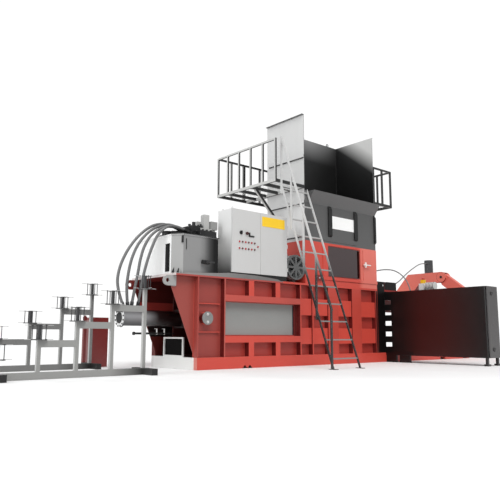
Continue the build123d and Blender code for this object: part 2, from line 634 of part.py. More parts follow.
# ---------------------------------------------------------------- bale-wire racks
def rack(x0, pitch, y0):
    y1 = y0 + RACK
    h = RACK / 2
    posts = [x0 - pitch * k for k in range(5)]
    tops = [1082 - 216 * k for k in range(5)]
    bar(posts[4] - h, x0 + 80, y0, y1, 0, BEAM)
    for x, z in zip(posts, tops):
        bar(x - h, x + h, y0, y1, 0, z)
        rod_z(z, z + 150, x, (y0 + y1) / 2, 10)
    for k in range(3):
        bar(posts[k + 1], posts[k], y0, y1, tops[k + 1] - BEAM, tops[k + 1])
    for x, ya, yb in ((x0 + 30, y0 - 226, y1 + 246), (posts[4], y0 - 226, y1 + 190)):
        bar(x - 40, x + 40, ya, yb, 0, BEAM)


NEAR = (-1030.0, 449.0, -290.0)
FAR = (-1005.0, 453.0, 1300.0)
with BuildPart() as near_rack:
    rack(*NEAR)
save(near_rack, "near_rack")

with BuildPart() as far_rack:
    rack(*FAR)
save(far_rack, "far_rack")


def spool(x, y, z):
    """pay-out spool: base disc, spindle tube, four pins and crossed rods at both ends"""
    zb = z + 0.5
    rod_z(zb, zb + 6, x, y, 92)
    rod_z(zb, zb + 175, x, y, 22)
    with BuildSketch(top(zb)) as sk:
        with Locations((x, y)):
            with PolarLocations(78, 4):
                Circle(5)
    extrude(sk.sketch, amount=175)
    for za in (zb + 6, zb + 165):
        with Locations(at(x, y, za + 3)):
            Box(330, 6, 6)
            Box(6, 330, 6)
    rod_z(zb, zb + 160, x, y, 10.05, Mode.SUBTRACT)


for side_name, (x0, pitch, y0) in (("near", NEAR), ("far", FAR)):
    for k in range(5):
        with BuildPart() as spool_part:
            spool(x0 - pitch * k, y0 + RACK / 2, 1082 - 216 * k)
        save(spool_part, "spool_%s_%d" % (side_name, k + 1))

# ---------------------------------------------------------------- oil cooler behind the racks
with BuildPart() as cooler_box:
    bar(-975, -560, 1640, 1900, 0, 50)
    bar(-820, -560, 1640, 1900, 50, 765)
    bar(-968, -922, 1640, 1690, 50, 770)
    rod_z(770, 790, -945, 1665, 20)
    bar(-922, -820, 1650, 1680, 600, 640)
save(cooler_box, "cooler_box")

# ---------------------------------------------------------------- hoses
def hose(name, route, dia):
    pts = [Vector(*at(*p)) for p in route]
    radii = []
    for i in range(1, len(pts) - 1):
        a, b = pts[i] - pts[i - 1], pts[i + 1] - pts[i]
        turn = math.radians(a.get_angle(b))
        radii.append(0.45 * min(a.length, b.length) / math.tan(turn / 2))
    with BuildPart() as tube:
        with BuildLine() as path:
            FilletPolyline(*pts, radius=radii)
        with BuildSketch(Plane(origin=pts[0], z_dir=(pts[1] - pts[0]).normalized())):
            Circle(dia / 2)
        sweep(path=path.line)
    length = path.line.length if hasattr(path.line, "length") else sum(e.length for e in path.edges())
    print(name, "length", round(length), "radii", [round(r) for r in radii],
          "volume ratio", round(tube.part.volume / (math.pi * dia * dia / 4 * length), 4))
    save(tube, name)


hose("hose_1", R1, HOSE_D)
hose("hose_2", R2, HOSE_D)
hose("hose_3", R3, HOSE_D)
hose("hose_4", R4, HOSE_D)
hose("hose_needle", RN, THIN_D)
hose("hose_tension", RT, THIN_D)
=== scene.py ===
import math

import bmesh
import bpy
from mathutils import Matrix, Vector


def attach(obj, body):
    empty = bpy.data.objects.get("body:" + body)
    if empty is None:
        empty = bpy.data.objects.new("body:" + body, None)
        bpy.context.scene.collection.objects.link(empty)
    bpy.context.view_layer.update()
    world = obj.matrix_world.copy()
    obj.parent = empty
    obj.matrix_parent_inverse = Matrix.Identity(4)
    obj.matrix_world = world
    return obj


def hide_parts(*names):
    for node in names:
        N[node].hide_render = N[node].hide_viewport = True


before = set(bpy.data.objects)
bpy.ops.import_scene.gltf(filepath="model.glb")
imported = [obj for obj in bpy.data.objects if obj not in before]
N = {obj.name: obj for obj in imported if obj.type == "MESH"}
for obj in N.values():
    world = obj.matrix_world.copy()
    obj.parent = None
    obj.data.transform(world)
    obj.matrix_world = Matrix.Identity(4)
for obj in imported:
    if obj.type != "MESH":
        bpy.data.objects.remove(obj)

SCENE = bpy.context.scene
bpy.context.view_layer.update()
OX, OY = 2224.5, -85.0


def P(x, y, z):
    """machine millimetres to row-frame metres"""
    return Vector(((x - OX) / 1000, (y - OY) / 1000, z / 1000))


def lin(r, g, b):
    def f(c):
        c /= 255
        return c / 12.92 if c <= 0.04045 else ((c + 0.055) / 1.055) ** 2.4
    return (f(r), f(g), f(b), 1)


# ---------------------------------------------------------------- camera
cam_data = bpy.data.cameras.new("camera")
cam_data.lens = 41.9
cam_data.sensor_width = 36
cam_data.clip_end = 200
cam = bpy.data.objects.new("camera", cam_data)
SCENE.collection.objects.link(cam)
cam.matrix_world = (Matrix.Translation((-7.1065, -6.795, 0.5)) @ Matrix.Rotation(math.radians(-40.45), 4, "Z")
                    @ Matrix.Rotation(math.radians(98.30), 4, "X") @ Matrix.Rotation(math.radians(0.15), 4, "Z"))
SCENE.camera = cam
SCENE.view_settings.view_transform = "Standard"
SCENE.view_settings.look = "None"


# ---------------------------------------------------------------- materials
class Mat:
    """a small helper that builds one procedural material in object space"""

    def __init__(s, name):
        s.m = bpy.data.materials.new(name)
        s.m.use_nodes = True
        s.t = s.m.node_tree
        s.t.nodes.clear()
        s.out = s.n("ShaderNodeOutputMaterial")
        s.b = s.n("ShaderNodeBsdfPrincipled")
        s.t.links.new(s.b.outputs["BSDF"], s.out.inputs["Surface"])
        tc = s.n("ShaderNodeTexCoord")
        s.co, s.no = tc.outputs["Object"], tc.outputs["Normal"]
        xyz = s.n("ShaderNodeSeparateXYZ")
        s.t.links.new(s.co, xyz.inputs[0])
        s.x, s.y, s.z = xyz.outputs
        nrm = s.n("ShaderNodeSeparateXYZ")
        s.t.links.new(s.no, nrm.inputs[0])
        s.nx, s.ny, s.nz = nrm.outputs

    def n(s, kind, **k):
        node = s.t.nodes.new(kind)
        for a, v in k.items():
            setattr(node, a, v)
        return node

    def put(s, socket, value):
        if isinstance(value, bpy.types.NodeSocket):
            s.t.links.new(value, socket)
        else:
            socket.default_value = value

    def noise(s, scale, detail=4.0, rough=0.55, stretch=None, dist=0.0):
        node = s.n("ShaderNodeTexNoise")
        vec = s.co
        if stretch:
            mp = s.n("ShaderNodeMapping")
            mp.inputs["Scale"].default_value = stretch
            s.t.links.new(s.co, mp.inputs["Vector"])
            vec = mp.outputs[0]
        s.t.links.new(vec, node.inputs["Vector"])
        node.inputs["Scale"].default_value = scale
        node.inputs["Detail"].default_value = detail
        node.inputs["Roughness"].default_value = rough
        node.inputs["Distortion"].default_value = dist
        return node.outputs["Fac"]

    def math(s, op, a, b=0.0, c=0.0, clamp=False):
        node = s.n("ShaderNodeMath", operation=op, use_clamp=clamp)
        s.put(node.inputs[0], a)
        s.put(node.inputs[1], b)
        if op in ("MULTIPLY_ADD",):
            s.put(node.inputs[2], c)
        return node.outputs[0]

    def mix(s, fac, a, b, mode="MIX"):
        node = s.n("ShaderNodeMix", data_type="RGBA", blend_type=mode)
        s.put(node.inputs["Factor"], fac)
        s.put(node.inputs[6], a)
        s.put(node.inputs[7], b)
        return node.outputs[2]

    def span(s, v, a, b, lo=0.0, hi=1.0):
        """maps v from a..b to lo..hi, clamped"""
        node = s.n("ShaderNodeMapRange")
        node.clamp = True
        s.put(node.inputs["Value"], v)
        node.inputs["From Min"].default_value = a
        node.inputs["From Max"].default_value = b
        node.inputs["To Min"].default_value = lo
        node.inputs["To Max"].default_value = hi
        return node.outputs["Result"]

    def less(s, v, a):
        return s.math("LESS_THAN", v, a)

    def more(s, v, a):
        return s.math("GREATER_THAN", v, a)

    def both(s, *m):
        out = m[0]
        for q in m[1:]:
            out = s.math("MULTIPLY", out, q)
        return out

    def inside(s, x0=None, x1=None, y0=None, y1=None, z0=None, z1=None):
        """mask of a box given in machine millimetres"""
        got = []
        for v, a, b, o in ((s.x, x0, x1, OX), (s.y, y0, y1, OY), (s.z, z0, z1, 0.0)):
            if a is not None:
                got.append(s.more(v, (a - o) / 1000))
            if b is not None:
                got.append(s.less(v, (b - o) / 1000))
        return s.both(*got)

    def along(s, axis, a, b, lo=0.0, hi=1.0):
        o = {"x": OX, "y": OY, "z": 0.0}[axis]
        return s.span(getattr(s, axis), (a - o) / 1000, (b - o) / 1000, lo, hi)

    def edges(s, radius):
        """1 close to an edge of the shape, 0 on flats"""
        bev = s.n("ShaderNodeBevel", samples=4)
        bev.inputs["Radius"].default_value = radius
        geo = s.n("ShaderNodeNewGeometry")
        dot = s.n("ShaderNodeVectorMath", operation="DOT_PRODUCT")
        s.t.links.new(bev.outputs[0], dot.inputs[0])
        s.t.links.new(geo.outputs["Normal"], dot.inputs[1])
        return s.span(dot.outputs["Value"], 0.999, 0.93), bev.outputs[0]


def finish_paint(s, colour, rough=0.4, rough_var=0.08, peel=0.03, metallic=0.0, coat=0.0, blotch=0.10, wear=None,
                 wear_amount=0.5, edge=0.004, spec=0.5, dust=0.0, grain=None, streak=0.0):
    """colour (a value or a socket) with slow blotches, fine mottle, worn edges, orange peel and uneven gloss"""
    slow = s.noise(1.1, 5, 0.6)
    fine = s.noise(38, 3, 0.6)
    run = s.noise(9, 4, 0.65, stretch=(1, 1, 0.12))
    tone = s.math("MULTIPLY_ADD", slow, blotch * 2, 1 - blotch)
    tone2 = s.math("MULTIPLY_ADD", fine, 0.05, 0.975)
    tone = s.math("MULTIPLY", tone, tone2)
    if streak:
        tone = s.math("MULTIPLY", tone, s.math("MULTIPLY_ADD", run, streak * 2, 1 - streak))
    grey = s.n("ShaderNodeCombineColor")
    for i in range(3):
        s.t.links.new(tone, grey.inputs[i])
    c = s.mix(1.0, colour, grey.outputs[0], "MULTIPLY")
    if dust:
        up = s.span(s.nz, 0.4, 0.95, 0.0, dust)
        patch = s.span(s.noise(6, 5, 0.7), 0.35, 0.7)
        c = s.mix(s.math("MULTIPLY", up, patch), c, (0.50, 0.46, 0.42, 1))
    near_edge, soft = s.edges(edge)
    if wear is not None:
        broken = s.span(s.noise(55, 6, 0.75), 0.42, 0.62)
        amount = s.math("MULTIPLY", s.math("MULTIPLY", near_edge, broken), wear_amount)
        c = s.mix(amount, c, wear)
    s.t.links.new(c, s.b.inputs["Base Color"])
    r = s.math("MULTIPLY_ADD", s.noise(4.5, 6, 0.7), rough_var * 2, rough - rough_var)
    s.t.links.new(r, s.b.inputs["Roughness"])
    s.b.inputs["Metallic"].default_value = metallic
    s.b.inputs["Coat Weight"].default_value = coat
    s.b.inputs["Coat Roughness"].default_value = 0.15
    s.b.inputs["Specular IOR Level"].default_value = spec
    skin = s.noise(420, 2, 0.5) if grain is None else s.noise(grain[0], 4, 0.6, stretch=grain[1])
    bump = s.n("ShaderNodeBump")
    bump.inputs["Strength"].default_value = peel * 4
    bump.inputs["Distance"].default_value = 0.0008
    s.t.links.new(skin, bump.inputs["Height"])
    s.t.links.new(soft, bump.inputs["Normal"])
    s.t.links.new(bump.outputs[0], s.b.inputs["Normal"])
    return s.m


RED = lin(203, 73, 59)
RED_RECESS_SHADE = lin(165, 58, 50)
RED_SHADE = lin(96, 20, 18)
RED_WEAR = lin(226, 124, 112)
STEEL = lin(190, 190, 190)


def red(name, masks=None, **k):
    s = Mat(name)
    c = s.mix(s.span(s.noise(0.55, 3, 0.5), 0.3, 0.7), RED, lin(194, 68, 56))
    if masks:
        c = masks(s, c)
    k.setdefault("streak", 0.04)
    return finish_paint(s, c, rough=0.42, blotch=0.05, wear=RED_WEAR, wear_amount=0.55, coat=0.05, **k)


def plain(name, colour, **k):
    s = Mat(name)
    return finish_paint(s, colour, **k)


def use(node, *mats):
    o = N[node]
    o.data.materials.clear()
    for m in mats:
        o.data.materials.append(m)


# walls, painted light and shade: ribs bright, recessed skin and the rear-facing rib sides darker as painted shade,
# light grey lugs
def wall_shade_and_lug_masks(s, c):
    near = s.math("MAXIMUM", s.inside(y0=94, y1=112), s.inside(y0=1128, y1=1146))
    # recessed skin between the ribs darker, with its own tone in the first bay: painted shade of the recess
    c = s.mix(s.both(near, s.more(s.x, (22 - OX) / 1000)), c, RED_RECESS_SHADE)
    c = s.mix(s.both(near, s.inside(x0=22, x1=487)), c, lin(148, 60, 53))
    # wing left of the wall end darker, each near face of rails, columns and ribs its own tone, the skin at the window's
    # edge and the last rib's near face dark, rib ends facing -x darker: painted light and shade per face
    c = s.mix(s.inside(x1=-4), c, lin(150, 66, 58))
    c = s.mix(s.both(s.inside(x0=507, x1=2091, y1=4, z0=1003, z1=1101), s.less(s.ny, -0.5)), c, lin(184, 76, 66))
    c = s.mix(s.inside(x0=2040, x1=2092, y0=90, y1=113, z0=484, z1=1004), c, lin(92, 28, 26))
    columns = s.math("MAXIMUM", s.inside(x0=2788, x1=3051), s.inside(x0=3434, x1=3691))
    c = s.mix(s.both(columns, s.less(s.ny, -0.5), s.inside(y1=4)), c, lin(184, 66, 54))
    c = s.mix(s.inside(x0=4126, x1=4176, y1=1), c, lin(60, 20, 18))
    c = s.mix(s.both(s.inside(x0=-1, x1=21.5, y1=4), s.less(s.ny, -0.5)), c, lin(158, 62, 54))
    c = s.mix(s.both(s.inside(x0=486, x1=507, y1=4, z0=160), s.less(s.ny, -0.5)), c, lin(176, 84, 74))
    c = s.mix(s.both(s.less(s.nx, -0.6), s.inside(x0=-1, x1=2, y0=-2, y1=96)), c, lin(150, 62, 54))
    c = s.mix(s.both(s.less(s.nx, -0.6), s.inside(x1=2, y0=1100)), c, lin(96, 26, 22))
    # rib sides facing -x inside the recesses painted dark red: painted shade
    rib = s.both(s.less(s.nx, -0.6), s.inside(y0=4, y1=1236, x0=22), s.more(s.x, (30 - OX) / 1000))
    c = s.mix(rib, c, RED_SHADE)
    # inner faces of the chamber and the far wall's inner side darker as painted shade, with a near black painted shadow
    # beside the barrel and a lighter band of painted light above it
    inner = s.both(s.inside(y0=108, y1=1131), s.inside(x1=1900))
    c = s.mix(s.both(inner, s.math("MAXIMUM", s.more(s.ny, 0.5), s.less(s.ny, -0.5))), c, lin(120, 24, 20))
    c = s.mix(s.both(s.inside(y0=1100), s.less(s.ny, -0.5)), c, lin(84, 26, 22))
    far_in = s.both(s.inside(y0=1120, y1=1131, x1=600), s.less(s.ny, -0.5))
    c = s.mix(s.both(far_in, s.inside(x0=-140, z0=470, z1=650)), c, lin(20, 6, 6))
    c = s.mix(s.both(far_in, s.inside(z0=880, z1=1000)), c, lin(160, 56, 50))
    # lugs light grey; the far wall's lug dark red as painted shade
    lug = s.inside(x0=-560, x1=-330.5, z0=1180, z1=1338)
    return s.mix(lug, c, s.mix(s.inside(y1=200), lin(110, 34, 30), lin(156, 156, 155)))


M_WALL = red("red_wall", wall_shade_and_lug_masks, dust=0.15)
use("near_wall", M_WALL)
use("far_wall", M_WALL)
M_RED = red("red_enamel", dust=0.15)
use("channel_flap", M_RED)
use("ram", plain("ram_dark_red", lin(74, 22, 20), rough=0.5, wear=lin(150, 140, 136), wear_amount=0.6))


def channel_shade_masks(s, c):
    # inner faces darker: painted shade
    inner = s.both(s.inside(y0=1000, y1=1200), s.less(s.ny, -0.5))
    return s.mix(inner, c, lin(70, 22, 20))


use("channel_frame", red("red_channel", channel_shade_masks, dust=0.15))
# yoke: the bright pink of its sunlit side is painted light; a darker ring round the boss and darker undersides to the
# right are painted shade; the pin end dark
s = Mat("red_sunlit")
qy, qz = s.math("ADD", s.y, -(338 - OY) / 1000), s.math("ADD", s.z, -1.814)
rad = s.math("SQRT", s.math("ADD", s.math("MULTIPLY", qy, qy), s.math("MULTIPLY", qz, qz)))
c = s.mix(s.both(s.less(rad, 0.0305), s.inside(x1=6979)), lin(232, 120, 104), lin(40, 22, 22))
rim = s.both(s.more(rad, 0.108), s.less(rad, 0.1175), s.inside(x1=6981), s.less(s.nx, -0.5))
c = s.mix(s.math("MULTIPLY", rim, 0.55), c, lin(120, 34, 30))
c = s.mix(s.both(s.more(s.x, (6985 - OX) / 1000), s.less(s.nz, -0.3)), c, lin(120, 34, 30))
use("yoke", finish_paint(s, c, rough=0.42, blotch=0.05, wear=RED_WEAR, wear_amount=0.4, dust=0.15, streak=0.03))
# lever coloured the lighter pink of a sunlit side: painted light
use("tension_lever", finish_paint(Mat("red_lever_sunlit"), lin(228, 110, 96), rough=0.42, blotch=0.05, wear=RED_WEAR,
                                  wear_amount=0.4, dust=0.15, streak=0.03))


def base_light_shade_masks(s, c):
    # undersides darker as painted shade; the rear end face pinkish as painted light, grey on the grey crossbeam; inside
    # between the walls darker as painted shade
    under = s.less(s.nz, -0.5)
    c = s.mix(under, c, RED_SHADE)
    end = s.both(s.less(s.nx, -0.6), s.inside(x1=5))
    c = s.mix(end, c, s.mix(s.inside(y0=700), lin(206, 122, 112), lin(214, 214, 212)))
    return s.mix(s.both(s.inside(y0=84, y1=1156), s.inside(x1=2100)), c, lin(105, 26, 22))


use("base_frame", red("red_base", base_light_shade_masks, dust=0.2))


def deck_plate_light_shade_masks(s, c):
    grey = s.both(s.inside(x1=1700), s.more(s.z, 1.3545))
    # undersides darker: painted shade; a grey plate along the near edge, darker towards +x
    c = s.mix(s.less(s.nz, -0.5), c, lin(120, 30, 26))
    rim = s.mix(s.along("x", -240, 900), lin(140, 139, 138), lin(112, 111, 110))
    c = s.mix(grey, c, rim)
    c = s.mix(s.both(s.inside(x1=1700, y1=1), s.less(s.z, 1.3600)), c, lin(164, 70, 64))
    # the left end near white: painted light
    return s.mix(s.both(s.inside(x1=-380)), c, lin(215, 205, 203))


use("deck", red("red_deck", deck_plate_light_shade_masks, dust=0.0))


def chute_shade_masks(s, c):
    # the dark gap, the inside of the chute and the front of the feed box darker: painted shade
    c = s.mix(s.inside(x0=3596, x1=3700, y0=9.5, y1=95, z0=1530, z1=2066), c, lin(24, 9, 9))
    c = s.mix(s.inside(y0=26, y1=940, x0=2240, x1=4160), c, lin(60, 20, 18))
    c = s.mix(s.inside(x0=2470, x1=2616, y1=-1, z0=1425, z1=1535), c, lin(120, 34, 30))
    # near face paler towards the right end, from x 3640
    paler_right = s.both(s.along("x", 3640, 3760), s.inside(y1=26))
    return s.mix(paler_right, c, lin(218, 112, 99))


use("chute", red("red_chute", chute_shade_masks))


# rear frame and racks
def steel_paint(name, colour, **k):
    k.setdefault("rough", 0.45)
    k.setdefault("wear", lin(225, 225, 225))
    k.setdefault("wear_amount", 0.35)
    return plain(name, colour, **k)


use("rear_frame", steel_paint("pale_enamel", lin(224, 224, 222), dust=0.15))
s = Mat("panel_grey")
c = s.mix(s.along("z", 480, 1010), lin(147, 149, 147), lin(135, 138, 136))
# darker towards the top; the strip past x 2010 near black: painted shade of the gap beside the panel
c = s.mix(s.inside(x0=2010), c, lin(26, 20, 34))
use("window_panel", finish_paint(s, c, rough=0.35, rough_var=0.1, blotch=0.07, wear=lin(225, 225, 225), wear_amount=0.35,
                                 grain=(30, (40, 1, 1)), peel=0.02))


def rack_mat(name, body, side):
    s = Mat(name)
    # sides facing -x lighter as painted light, undersides darker as painted shade, and the feet fading to black towards
    # the x0 end as painted shade
    c = s.mix(s.less(s.nx, -0.6), body, side)
    c = s.mix(s.less(s.nz, -0.5), c, lin(40, 40, 40))
    foot = s.both(s.along("x", -1500, -1010), s.inside(z1=82))
    c = s.mix(foot, c, lin(16, 16, 16))
    return finish_paint(s, c, rough=0.42, blotch=0.08, wear=lin(215, 215, 215), wear_amount=0.35, metallic=0.0)


use("near_rack", rack_mat("rack_grey", lin(143, 143, 141), lin(190, 190, 188)))
# the far rack takes darker copies of both tones: painted shade
use("far_rack", rack_mat("rack_grey_far_shaded", lin(112, 112, 111), lin(174, 174, 172)))


def bare_steel(name, colour, rough=0.3, metallic=0.85, **k):
    s = Mat(name)
    k.setdefault("grain", (60, (1, 1, 14)))
    return finish_paint(s, colour, rough=rough, rough_var=0.1, metallic=metallic, blotch=0.12, **k)


for side, (x0, pitch, y0) in (("near", (-1030.0, 449.0, -290.0)), ("far", (-1005.0, 453.0, 1300.0))):
    for k in range(5):
        s = Mat("spool_steel_%s_%d" % (side, k + 1))
        px, py = (x0 - pitch * k - OX) / 1000, (y0 + 22 - OY) / 1000
        dx, dy = s.math("ADD", s.x, -px), s.math("ADD", s.y, -py)
        rad = s.math("SQRT", s.math("ADD", s.math("MULTIPLY", dx, dx), s.math("MULTIPLY", dy, dy)))
        c = s.mix(s.span(rad, 0.090, 0.100), lin(66, 66, 67), lin(196, 196, 195))
        use("spool_%s_%d" % (side, k + 1), finish_paint(s, c, rough=0.34, rough_var=0.1, metallic=0.45, blotch=0.12,
                                                        grain=(60, (1, 1, 14))))

# drive
s = Mat("cylinder_black")
# the flange's -x face ring white; a painted highlight along mid-height of the barrel; the barrel fading to near black
# towards the walls as painted shade; the end beyond the flange black
ring = s.both(s.inside(x0=-913, x1=-882), s.less(s.nx, -0.5))
shine = s.both(s.along("z", 640, 745), s.along("z", 850, 770))
c = s.mix(shine, lin(58, 58, 60), lin(140, 140, 142))
c = s.mix(s.along("x", -555, -325), c, lin(24, 12, 12))
c = s.mix(s.inside(x1=-912), c, lin(12, 12, 12))
use("main_cylinder", finish_paint(s, s.mix(ring, c, lin(236, 236, 235)), rough=0.32, spec=0.6, blotch=0.08,
                                  wear=lin(130, 130, 130), wear_amount=0.3))
M_CHROME = bare_steel("ground_chrome", lin(214, 216, 220), 0.12, 1.0, peel=0.01)
use("cylinder_rod", M_CHROME)
use("tension_rod", M_CHROME)
M_TURNED = bare_steel("turned_steel", lin(186, 186, 184), 0.36, 0.5)
use("cylinder_pin", bare_steel("pin_grey", lin(134, 135, 134), 0.45, 0.2))

# hopper
s = Mat("hopper_front_grey")
c = s.mix(s.along("z", 2115, 2800), lin(87, 87, 87), lin(80, 80, 80))
# the flared upper face lighter as painted light; ribs black; faces turned to +y at the top near black as painted shade
c = s.mix(s.both(s.inside(z0=2788), s.less(s.ny, -0.2)), c, lin(100, 100, 100))
ribs = s.math("MAXIMUM", s.math("MAXIMUM", s.inside(x0=2808, x1=2901), s.inside(x0=3521, x1=3613)), s.inside(x0=4114))
c = s.mix(s.both(ribs, s.inside(y1=-0.4, z0=2229, z1=2793)), c, lin(14, 14, 14))
c = s.mix(s.both(s.inside(z0=2788, y1=60), s.more(s.ny, 0.2)), c, lin(20, 20, 20))
use("hopper_front", finish_paint(s, c, rough=0.5, blotch=0.06, wear=lin(150, 150, 150), wear_amount=0.5, streak=0.03))

s = Mat("hopper_plate")
# outer face facing -x bright as painted light, with a step at the walkway height as painted shadow; the other outer
# faces mid grey
outer = s.both(s.less(s.nx, -0.5), s.inside(x1=2240))
c_out = s.mix(s.along("z", 3040, 3100), lin(213, 213, 212), lin(206, 206, 205))
# inside: the back wall near black with painted light falling in at the lower left and along the top, the right wall
# split by a diagonal edge of painted light
back_in = s.both(s.less(s.ny, -0.5), s.inside(x0=2234, x1=4156))
back_light_left = s.both(s.along("x", 2860, 2300), s.along("z", 2500, 3300))
back_light_top = s.both(s.along("z", 3950, 4420), s.along("x", 4250, 3400), 0.55)
c_back = s.mix(s.math("MAXIMUM", back_light_left, back_light_top), lin(7, 7, 7), lin(184, 184, 184))
right_in = s.both(s.less(s.nx, -0.5), s.inside(x0=4100))
above = s.math("MULTIPLY_ADD", s.y, -0.7875, s.z)
c_right = s.mix(s.span(above, 3.56, 3.98), lin(7, 7, 7), lin(205, 205, 203))
c = s.mix(outer, lin(88, 88, 89), c_out)
c = s.mix(back_in, c, c_back)
c = s.mix(right_in, c, c_right)
# the other faces of the outer skin and the top lip darker: painted shade
c = s.mix(s.both(s.inside(x1=2226.5, z1=4300), s.more(s.nx, -2)), c, s.mix(outer, lin(60, 60, 60), c_out))
c = s.mix(s.inside(x1=2233, z0=4368), c, lin(30, 30, 30))
use("hopper_shell", finish_paint(s, c, rough=0.45, blotch=0.04, wear=lin(225, 225, 225), wear_amount=0.3, streak=0.03))

use("inspection_door", steel_paint("door_grey", lin(67, 56, 57), wear=lin(120, 112, 112), rough=0.45))
use("door_handle", plain("handle_white", lin(235, 232, 228), rough=0.3, wear=lin(150, 150, 150)))

# walkway: rear-facing sides pale as painted light, dimmer right of x 2240, the rest black as painted shade
s = Mat("rail_black")
c = s.mix(s.both(s.less(s.nx, -0.6), s.inside(x1=2240)), lin(34, 34, 34), lin(190, 190, 188))
c = s.mix(s.both(s.less(s.nx, -0.6), s.inside(x0=2240)), c, lin(84, 84, 84))
M_RAIL = finish_paint(s, c, rough=0.45, blotch=0.08, wear=lin(150, 150, 150), wear_amount=0.5)
use("walkway", M_RAIL)
use("railing", M_RAIL)
s = Mat("ladder_steel")
# ladder dark low and light high, the rungs graded from mid to light grey: painted light and reflection; the feet dark
c = s.mix(s.along("z", 1400, 2000), lin(26, 26, 26), lin(196, 196, 195))
c = s.mix(s.both(s.inside(x0=1690, x1=2282), s.inside(z1=3060)), c, s.mix(s.along("z", 1300, 2100), lin(128, 128, 127), lin(172, 172, 171)))
c = s.mix(s.inside(z1=12), c, lin(40, 40, 40))
use("ladder", finish_paint(s, c, rough=0.38, metallic=0.0, blotch=0.12, wear=lin(230, 230, 230), wear_amount=0.6, spec=0.7))

# hydraulics
s = Mat("tank_enamel")
# the -x face near white as painted light, the chamfered corner a mid tone, the front face darkening towards the cabinet
# as painted shade; a dark patch on the front
front = s.both(s.less(s.ny, -0.85), s.inside(y1=60))
corner = s.both(s.less(s.ny, -0.3), s.less(s.nx, -0.3))
c = s.mix(front, lin(248, 248, 247), s.mix(s.along("x", 130, 315), s.mix(s.along("x", 50, 250), lin(139, 139, 139), lin(88, 88, 88)), lin(7, 7, 7)))
c = s.mix(corner, c, lin(158, 158, 157))
c = s.mix(s.both(s.inside(y1=25, x0=50, x1=190, z0=1500, z1=1600)), c, lin(34, 34, 34))
use("oil_tank", finish_paint(s, c, rough=0.42, blotch=0.03, wear=lin(120, 120, 120), wear_amount=0.5, spec=0.3))
s = Mat("valve_stack")
c = s.mix(s.more(s.z, 2.052), lin(26, 26, 27), lin(178, 178, 176))
c = s.mix(s.inside(x0=392, z0=2112, x1=560), c, lin(140, 140, 139))
c = s.mix(s.inside(x1=190), c, lin(18, 18, 19))
use("valve_block", finish_paint(s, c, rough=0.4, blotch=0.1, wear=lin(200, 200, 200), wear_amount=0.5))
use("ball_valve_lever", plain("lever_dark", lin(44, 44, 45), rough=0.35, wear=STEEL))
use("pump", plain("pump_casting", lin(58, 60, 62), rough=0.6, grain=(160, (1, 1, 1)), peel=0.12))
s = Mat("motor_grey")
# the front rim lighter as painted light; a darker band behind it
c = s.mix(s.inside(y1=16), lin(132, 134, 134), lin(92, 93, 93))
c = s.mix(s.both(s.inside(y0=10, y1=40)), c, lin(70, 70, 70))
use("motor", finish_paint(s, c, rough=0.5, blotch=0.08, wear=lin(190, 190, 190), wear_amount=0.6))
use("motor_fan", plain("fan_black", lin(38, 38, 38), rough=0.5))
use("cooler_box", plain("cooler_red", lin(118, 40, 38), rough=0.35, wear=lin(170, 80, 76), coat=0.2))

# control cabinet
s = Mat("cabinet_grey")
c = s.mix(s.inside(z1=1447.5), lin(224, 224, 223), lin(12, 12, 12))
# the side facing -x darker towards the bottom: painted shade; the plinth black
low = s.both(s.less(s.nx, -0.5), s.inside(z0=1447))
shade = s.both(s.along("z", 2120, 1440), low)
c = s.mix(shade, c, lin(60, 60, 60))
use("cabinet", finish_paint(s, c, rough=0.4, blotch=0.02, wear=lin(150, 150, 150), wear_amount=0.4, grain=(260, (1, 1, 1)), peel=0.05))
M_DOOR = plain("cabinet_door_grey", lin(197, 197, 196), rough=0.4, blotch=0.02, wear=lin(150, 150, 150), wear_amount=0.4,
               grain=(260, (1, 1, 1)), peel=0.05)
use("cabinet_door_left", M_DOOR)
use("cabinet_door_right", M_DOOR)
M_BLACK = plain("moulded_black", lin(26, 26, 27), rough=0.5, grain=(520, (1, 1, 1)), peel=0.08)
M_REDP = plain("moulded_red", lin(176, 24, 24), rough=0.3, spec=0.6)
use("main_switch", M_BLACK)
use("stop_button", plain("moulded_dark_red", lin(62, 16, 18), rough=0.35, spec=0.5))
use("estop_button", M_REDP)

# tying station and needles
s = Mat("tying_black")
c = s.mix(s.inside(z0=1336, z1=1371), lin(12, 8, 8), lin(150, 44, 38))
c = s.mix(s.inside(x1=4400, z1=1336, y1=118), c, lin(70, 22, 20))
c = s.mix(s.inside(x0=4170, x1=4412, z0=1371, y1=30), c, lin(100, 26, 24))
# far inner faces darker: painted shade
c = s.mix(s.inside(y0=1100, z1=1336), c, lin(110, 36, 32))
c = s.mix(s.both(s.inside(x0=4170, x1=4402, y1=118), s.less(s.ny, -0.5)), c, lin(10, 6, 6))
c = s.mix(s.inside(z1=130), c, lin(12, 10, 10))
use("tying_station", finish_paint(s, c, rough=0.45, blotch=0.1, wear=lin(70, 34, 30), wear_amount=0.4, spec=0.25))
s = Mat("housing_charcoal")
